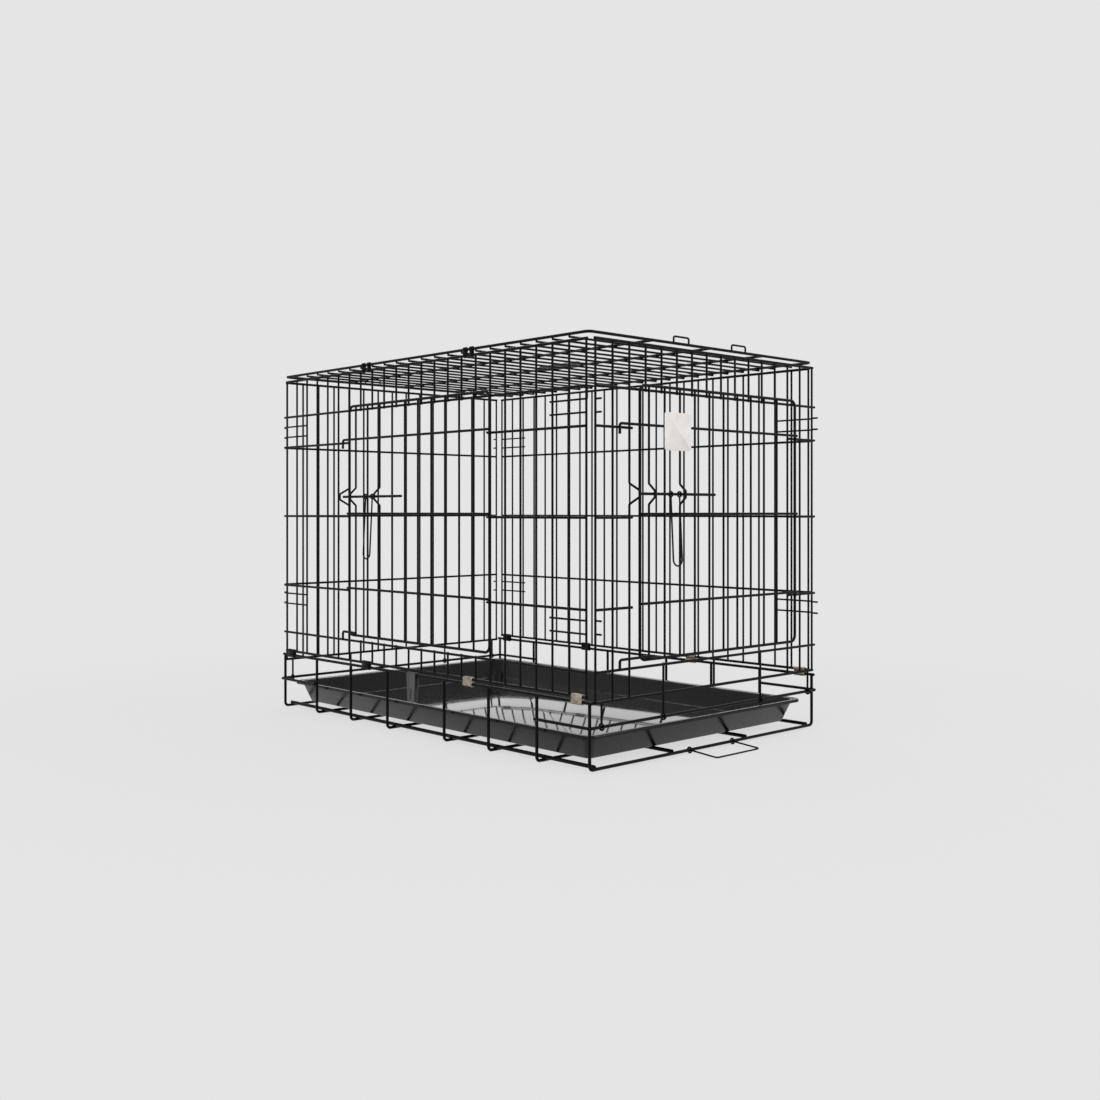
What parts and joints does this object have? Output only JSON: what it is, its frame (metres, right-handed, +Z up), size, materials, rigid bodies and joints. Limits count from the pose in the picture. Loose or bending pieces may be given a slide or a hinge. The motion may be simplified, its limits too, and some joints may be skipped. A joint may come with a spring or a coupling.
{
  "type": "folding pet crate",
  "caption": "Folding wire pet crate with two hinged doors on slide bolts, hinged walls and roof, a pull-out tray, a tray stop and a carry strap.",
  "frame": {"origin": "on the floor under the middle of the base, half way between the hinge rails", "axes": "+X out of the end with the front door, -Y out of the long side with a door, +Z up"},
  "size_m": [0.8122, 0.5226, 0.5861],
  "materials": {
    "coated_wire": "semi-gloss black coating on steel wire",
    "zinc_steel": "bare zinc-plated strip",
    "tray_plastic": "glossy black moulded sheet",
    "strap_plastic": "satin black moulded plastic",
    "plate_plastic": "plain white plate"
  },
  "bodies": {
    "base": {"base_cross_wires": "coated_wire", "base_left_hinge_rail": "coated_wire", "base_right_hinge_rail": "coated_wire", "base_front_end_rail": "coated_wire", "base_back_end_rail": "coated_wire", "base_floor_rails": "coated_wire"},
    "tray": {"tray": "tray_plastic"},
    "tray_stop": {"tray_stop": "coated_wire"},
    "carry_strap": {"carry_strap": "strap_plastic"},
    "left_side": {"left_bars": "coated_wire", "left_rails": "coated_wire", "left_bolt_keeper": "coated_wire", "left_corner_catches": "coated_wire", "left_hinge_clips": "zinc_steel", "roof_hinge_clips": "coated_wire"},
    "right_side": {"right_bars": "coated_wire", "right_rails": "coated_wire", "right_corner_catches": "coated_wire", "right_hinge_clips": "zinc_steel"},
    "roof": {"roof_frame": "coated_wire", "roof_bars": "coated_wire", "roof_rails": "coated_wire", "roof_hooks": "coated_wire", "roof_side_pins": "coated_wire", "roof_grip": "strap_plastic"},
    "front_panel": {"front_bars": "coated_wire", "front_rails": "coated_wire", "front_bolt_keeper": "coated_wire", "front_hinge_feet": "coated_wire", "front_catch_studs": "coated_wire"},
    "back_panel": {"back_bars": "coated_wire", "back_rails": "coated_wire", "back_hinge_feet": "coated_wire", "back_catch_studs": "coated_wire"},
    "side_door": {"left_door_frame": "coated_wire", "left_door_bars": "coated_wire", "left_bolt_guides": "coated_wire", "left_door_rails": "coated_wire"},
    "front_door": {"front_door_frame": "coated_wire", "front_door_bars": "coated_wire", "front_bolt_guides": "coated_wire", "front_door_rails": "coated_wire", "name_plate": "plate_plastic"},
    "side_bolt": {"left_bolt": "coated_wire"},
    "side_pull": {"left_bolt_pull": "coated_wire"},
    "front_bolt": {"front_bolt": "coated_wire"},
    "front_pull": {"front_bolt_pull": "coated_wire"}
  },
  "joints": [
    {"name": "front_panel_fold", "type": "hinge", "parent": "base", "child": "front_panel", "pos_m": [0.3795, 0, 0.06], "axis": [0, 1, 0], "range_deg": [-90, 0]},
    {"name": "back_panel_fold", "type": "hinge", "parent": "base", "child": "back_panel", "pos_m": [-0.3795, 0, 0.05], "axis": [0, -1, 0], "range_deg": [-90, 0]},
    {"name": "left_side_fold", "type": "hinge", "parent": "base", "child": "left_side", "pos_m": [0, -0.2475, 0.092], "axis": [1, 0, 0], "range_deg": [-90, 0]},
    {"name": "right_side_fold", "type": "hinge", "parent": "base", "child": "right_side", "pos_m": [0, 0.2475, 0.084], "axis": [-1, 0, 0], "range_deg": [-90, 0]},
    {"name": "roof_fold", "type": "hinge", "parent": "left_side", "child": "roof", "pos_m": [0, -0.2475, 0.575], "axis": [1, 0, 0], "range_deg": [0, 261]},
    {"name": "side_door_swing", "type": "hinge", "parent": "left_side", "child": "side_door", "pos_m": [0.18448, -0.2555, 0.326], "axis": [0, 0, 1], "range_deg": [0, 150]},
    {"name": "front_door_swing", "type": "hinge", "parent": "front_panel", "child": "front_door", "pos_m": [0.3875, 0.1851, 0.326], "axis": [0, 0, 1], "range_deg": [0, 150]},
    {"name": "side_bolt_slide", "type": "slide", "parent": "side_door", "child": "side_bolt", "axis": [1, 0, 0], "range_m": [-0.028, 0]},
    {"name": "front_bolt_slide", "type": "slide", "parent": "front_door", "child": "front_bolt", "axis": [0, 1, 0], "range_m": [-0.028, 0]},
    {"name": "side_pull_lift", "type": "hinge", "parent": "side_bolt", "child": "side_pull", "pos_m": [-0.10048, -0.26205, 0.36438], "axis": [-1, 0, 0], "range_deg": [0, 100]},
    {"name": "front_pull_lift", "type": "hinge", "parent": "front_bolt", "child": "front_pull", "pos_m": [0.39405, -0.1011, 0.36438], "axis": [0, -1, 0], "range_deg": [0, 100]},
    {"name": "tray_slide", "type": "slide", "parent": "base", "child": "tray", "axis": [1, 0, 0], "range_m": [0, 0.45]},
    {"name": "tray_stop_lift", "type": "hinge", "parent": "base", "child": "tray_stop", "pos_m": [0.375, 0, 0.005], "axis": [0, 1, 0], "range_deg": [-100, 0]},
    {"name": "strap_swing", "type": "hinge", "parent": "base", "child": "carry_strap", "pos_m": [-0.006, -0.2475, 0.092], "axis": [-1, 0, 0], "range_deg": [0, 90]}
  ],
  "couplings": [
    {"joint": "roof_fold", "follows": "left_side_fold", "ratio": -2.9}
  ]
}
